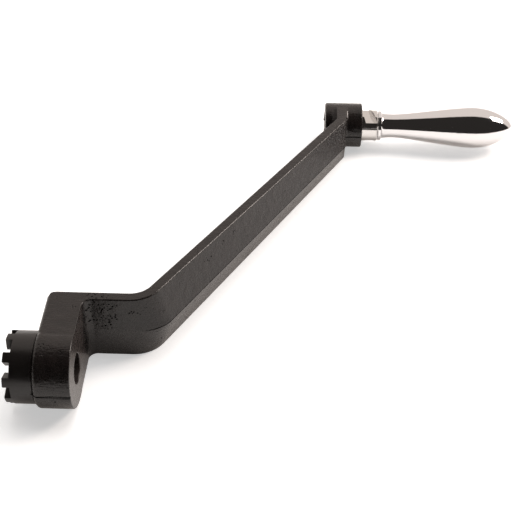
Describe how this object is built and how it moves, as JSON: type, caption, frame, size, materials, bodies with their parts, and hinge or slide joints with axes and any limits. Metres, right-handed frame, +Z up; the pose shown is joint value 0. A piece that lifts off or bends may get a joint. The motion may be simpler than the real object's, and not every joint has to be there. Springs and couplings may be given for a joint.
{
  "type": "crank handle",
  "caption": "Offset cast crank arm with a toothed clutch hub and bore at one end and a free-turning handle at the other.",
  "frame": {"origin": "on the shaft bore's axis, at the machined face of the hub", "axes": "+X along the bore axis towards the handle side, +Y from the bore to the handle's axis, +Z up and square to the casting's parting plane"},
  "size_m": [0.3413, 0.3147, 0.0492],
  "materials": {
    "black_paint": "semi-gloss black paint on cast iron",
    "bright_steel": "machined and plated steel",
    "spring_steel": "plain spring steel wire",
    "chrome_plate": "polished chrome plate"
  },
  "bodies": {
    "crank": {"crank_arm": "black_paint", "handle_spindle": "bright_steel", "retaining_ring": "spring_steel"},
    "grip": {"grip": "chrome_plate"}
  },
  "joints": [
    {"name": "grip_spin", "type": "hinge", "parent": "crank", "child": "grip", "pos_m": [0.1933, 0.273, 0], "axis": [1, 0, 0], "continuous": true}
  ]
}
